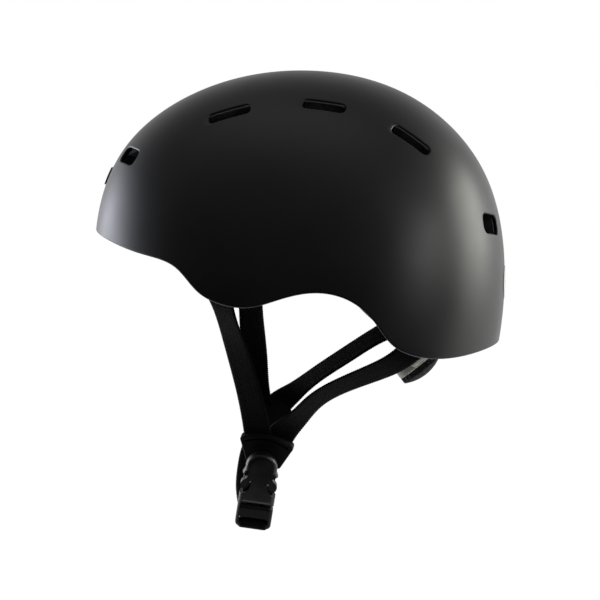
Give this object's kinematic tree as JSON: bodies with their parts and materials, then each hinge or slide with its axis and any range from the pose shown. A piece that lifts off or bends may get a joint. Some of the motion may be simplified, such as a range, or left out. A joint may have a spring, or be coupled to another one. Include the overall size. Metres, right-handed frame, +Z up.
{
  "type": "skateboard helmet",
  "caption": "Hard-shell skate helmet with short vents, foam liner, comfort pads, webbing straps with a side-release buckle, and a rear fit cradle with a dial.",
  "frame": {"origin": "where the crown of the head touches the underside of the crown pad, on the centre plane", "axes": "+X wearer's front, +Y wearer's left, +Z up, with the shell level as in the picture and the straps hanging"},
  "size_m": [0.2774, 0.214, 0.3066],
  "materials": {
    "shell_abs": "satin black moulded ABS",
    "liner_foam": "bead-moulded foam",
    "badge_plastic": "satin black moulded plastic",
    "reflective_film": "light grey retroreflective film",
    "pad_fabric": "black brushed knit over soft foam",
    "hook_loop": "black hook-and-loop tape",
    "webbing": "black woven nylon webbing",
    "buckle_acetal": "black moulded acetal",
    "cradle_grey": "grey moulded nylon",
    "band_nylon": "black moulded nylon",
    "dial_rubber": "dark ribbed soft-touch plastic",
    "screw_steel": "zinc-plated steel"
  },
  "bodies": {
    "shell": {"outer_shell": "shell_abs", "eps_liner": "liner_foam", "front_badge_plate": "badge_plastic", "rear_reflective_disc": "reflective_film", "brow_pad": "pad_fabric", "crown_pad": "pad_fabric", "side_pad_left": "pad_fabric", "side_pad_right": "pad_fabric", "rear_pad": "pad_fabric", "pad_hook_dots": "hook_loop", "temple_stud_left": "band_nylon", "temple_stud_right": "band_nylon", "strap_divider_left": "buckle_acetal", "strap_divider_right": "buckle_acetal", "front_strap_left": "webbing", "rear_strap_left": "webbing", "front_strap_right": "webbing", "rear_strap_right": "webbing", "buckle_strap": "webbing", "chin_strap": "webbing", "front_anchor_left": "buckle_acetal", "front_anchor_right": "buckle_acetal", "rear_anchor_left": "buckle_acetal", "rear_anchor_right": "buckle_acetal", "buckle_female": "buckle_acetal"},
    "cradle": {"cradle_housing": "cradle_grey", "cradle_cover": "cradle_grey", "cradle_screws": "screw_steel", "nape_pad": "pad_fabric", "band_left": "cradle_grey", "band_right": "cradle_grey"},
    "dial": {"fit_dial": "dial_rubber", "dial_pinion": "band_nylon"},
    "left_rack": {"rack_left": "cradle_grey"},
    "right_rack": {"rack_right": "cradle_grey"},
    "buckle_male_part": {"buckle_male": "buckle_acetal"},
    "front_prong": {"buckle_prong_front": "buckle_acetal"},
    "rear_prong": {"buckle_prong_rear": "buckle_acetal"}
  },
  "joints": [
    {"name": "cradle_tilt", "type": "hinge", "parent": "shell", "child": "cradle", "pos_m": [-0.01496, 0, -0.09697], "axis": [0, 1, 0], "range_deg": [-4, 4]},
    {"name": "dial_turn", "type": "hinge", "parent": "cradle", "child": "dial", "pos_m": [-0.07368, 0, -0.16578], "axis": [-0.6157, 0, -0.788], "range_deg": [-125, 125]},
    {"name": "left_rack_slide", "type": "slide", "parent": "cradle", "child": "left_rack", "axis": [0, 1, 0], "range_m": [-0.009, 0.009], "deforming": ["band_left"]},
    {"name": "right_rack_slide", "type": "slide", "parent": "cradle", "child": "right_rack", "axis": [0, -1, 0], "range_m": [-0.009, 0.009], "deforming": ["band_right"]},
    {"name": "buckle_release", "type": "slide", "parent": "shell", "child": "buckle_male_part", "axis": [0.1825, -0.2646, -0.9469], "range_m": [0, 0.026], "deforming": ["chin_strap", "buckle_prong_front", "buckle_prong_rear"]},
    {"name": "front_prong_squeeze", "type": "hinge", "parent": "buckle_male_part", "child": "front_prong", "pos_m": [0.03909, 0.04375, -0.25483], "axis": [0.1042, -0.9525, 0.2862], "range_deg": [0, 8], "stiffness_Nm_per_rad": 0.8},
    {"name": "rear_prong_squeeze", "type": "hinge", "parent": "buckle_male_part", "child": "rear_prong", "pos_m": [0.02354, 0.04135, -0.25716], "axis": [-0.1042, 0.9525, -0.2862], "range_deg": [0, 8], "stiffness_Nm_per_rad": 0.8}
  ],
  "couplings": [
    {"joint": "left_rack_slide", "follows": "dial_turn", "m_per_rad": 0.004},
    {"joint": "right_rack_slide", "follows": "dial_turn", "m_per_rad": 0.004}
  ]
}
